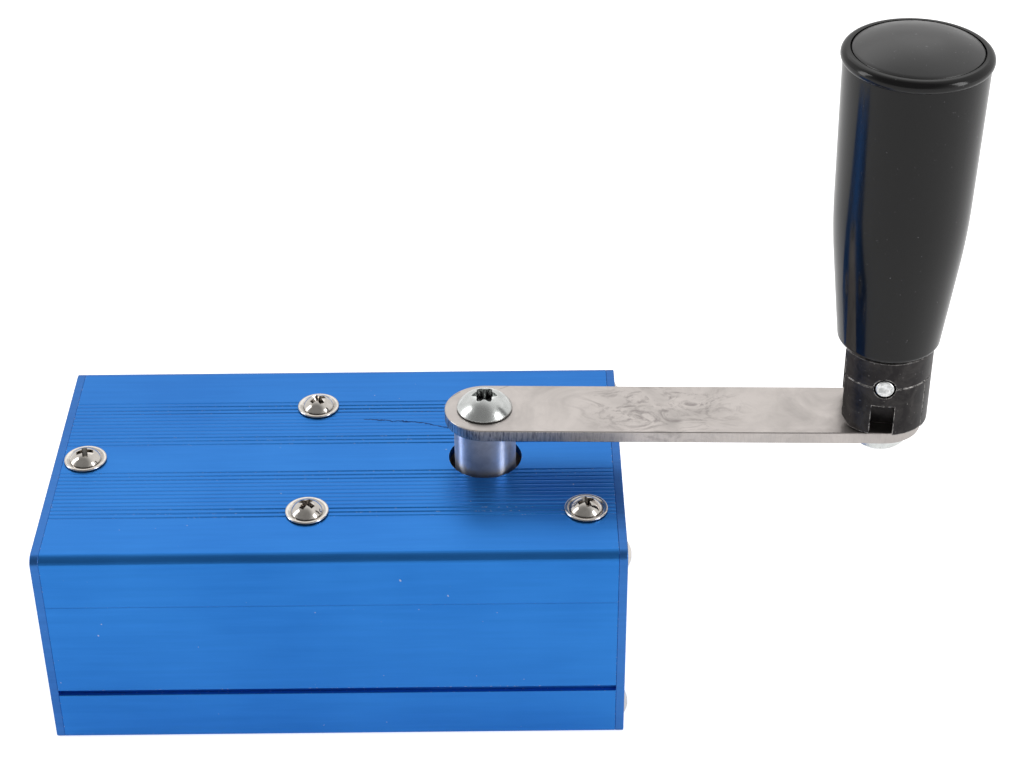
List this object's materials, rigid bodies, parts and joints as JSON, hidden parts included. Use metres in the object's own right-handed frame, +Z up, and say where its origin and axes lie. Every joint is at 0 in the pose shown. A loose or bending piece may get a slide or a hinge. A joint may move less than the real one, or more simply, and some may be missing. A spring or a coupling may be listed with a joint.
{
  "type": "hand crank generator",
  "caption": "Small generator in a blue aluminium case, driven by a flat crank arm with a turning grip that folds down over the arm.",
  "frame": {"origin": "centre of the case's underside", "axes": "+X along the case towards the grip side, +Y to the back, +Z up along the crank shaft"},
  "size_m": [0.1987, 0.07, 0.1526],
  "materials": {
    "blue_anodised": "satin blue anodised",
    "nickel_screw": "bright nickel plate",
    "zinc_screw": "zinc plate",
    "arm_steel": "brushed nickel plated bar",
    "polished_steel": "ground and polished",
    "black_oxide": "black oxide",
    "pin_steel": "plain",
    "gloss_black": "gloss",
    "satin_black": "satin",
    "gear_brass": "machined",
    "bush_bronze": "sintered",
    "plain_aluminium": "milled",
    "core_steel": "laminated",
    "coil_copper": "enamelled",
    "magnet_grey": "plated",
    "board_green": "solder mask",
    "part_black": "moulded",
    "red_plastic": "moulded",
    "black_plastic": "moulded"
  },
  "bodies": {
    "case": {"upper_shell": "blue_anodised", "lower_shell": "blue_anodised", "left_end_plate": "blue_anodised", "right_end_plate": "blue_anodised", "end_plate_screws_left": "nickel_screw", "end_plate_screws_right": "nickel_screw", "top_cover_screws": "nickel_screw", "base_screws": "zinc_screw", "frame_bottom_plate": "plain_aluminium", "frame_top_plate": "plain_aluminium", "frame_post_1": "plain_aluminium", "frame_post_2": "plain_aluminium", "frame_post_3": "plain_aluminium", "frame_post_4": "plain_aluminium", "frame_screws": "zinc_screw", "crank_bush_bottom": "bush_bronze", "crank_bush_top": "bush_bronze", "layshaft_bush_bottom": "bush_bronze", "layshaft_bush_top": "bush_bronze", "generator_base": "plain_aluminium", "generator_housing": "plain_aluminium", "generator_screws": "zinc_screw", "rotor_bush_bottom": "bush_bronze", "rotor_bush_top": "bush_bronze", "stator_core": "core_steel", "stator_coils": "coil_copper", "generator_leads": "red_plastic", "rectifier_board": "board_green", "bridge_rectifier": "part_black", "smoothing_capacitor": "part_black", "board_brackets": "plain_aluminium", "socket_bush_red": "red_plastic", "socket_bush_black": "black_plastic", "socket_contacts": "nickel_screw", "socket_nuts": "nickel_screw"},
    "crank": {"crank_shaft": "polished_steel", "crank_gear": "gear_brass", "crank_gear_pin": "pin_steel", "crank_arm": "arm_steel", "arm_screw": "zinc_screw", "knuckle_tongue": "black_oxide", "knuckle_screw": "zinc_screw"},
    "layshaft": {"layshaft": "pin_steel", "layshaft_pinion": "pin_steel", "layshaft_gear": "gear_brass"},
    "rotor": {"rotor_shaft": "pin_steel", "rotor_magnet": "magnet_grey", "rotor_pinion": "pin_steel"},
    "hinge_pin": {"hinge_pin": "pin_steel"},
    "handle": {"hinge_fork": "black_oxide", "grip_spindle": "pin_steel", "grip_washer": "zinc_screw", "grip_nut": "zinc_screw"},
    "grip": {"grip_sleeve": "gloss_black", "grip_cap": "satin_black"}
  },
  "joints": [
    {"name": "crank_turn", "type": "hinge", "parent": "case", "child": "crank", "pos_m": [0.0326, 0, 0.03], "axis": [0, 0, 1], "continuous": true},
    {"name": "layshaft_turn", "type": "hinge", "parent": "case", "child": "layshaft", "pos_m": [0.0026, 0, 0.03], "axis": [0, 0, 1], "continuous": true},
    {"name": "rotor_turn", "type": "hinge", "parent": "case", "child": "rotor", "pos_m": [-0.0266, 0, 0.02], "axis": [0, 0, 1], "continuous": true},
    {"name": "handle_lift", "type": "slide", "parent": "crank", "child": "hinge_pin", "axis": [0, 0, 1], "range_m": [0, 0.00771]},
    {"name": "handle_fold", "type": "hinge", "parent": "hinge_pin", "child": "handle", "pos_m": [0.11857, -0.00225, 0.0753], "axis": [-0.1547, -0.988, 0], "range_deg": [0, 85]},
    {"name": "grip_spin", "type": "hinge", "parent": "handle", "child": "grip", "pos_m": [0.11857, -0.00225, 0.11], "axis": [0, 0, 1], "continuous": true}
  ],
  "couplings": [
    {"joint": "layshaft_turn", "follows": "crank_turn", "ratio": -4},
    {"joint": "rotor_turn", "follows": "crank_turn", "ratio": 15.467},
    {"joint": "handle_lift", "follows": "handle_fold", "m_per_rad": 0.0052}
  ]
}
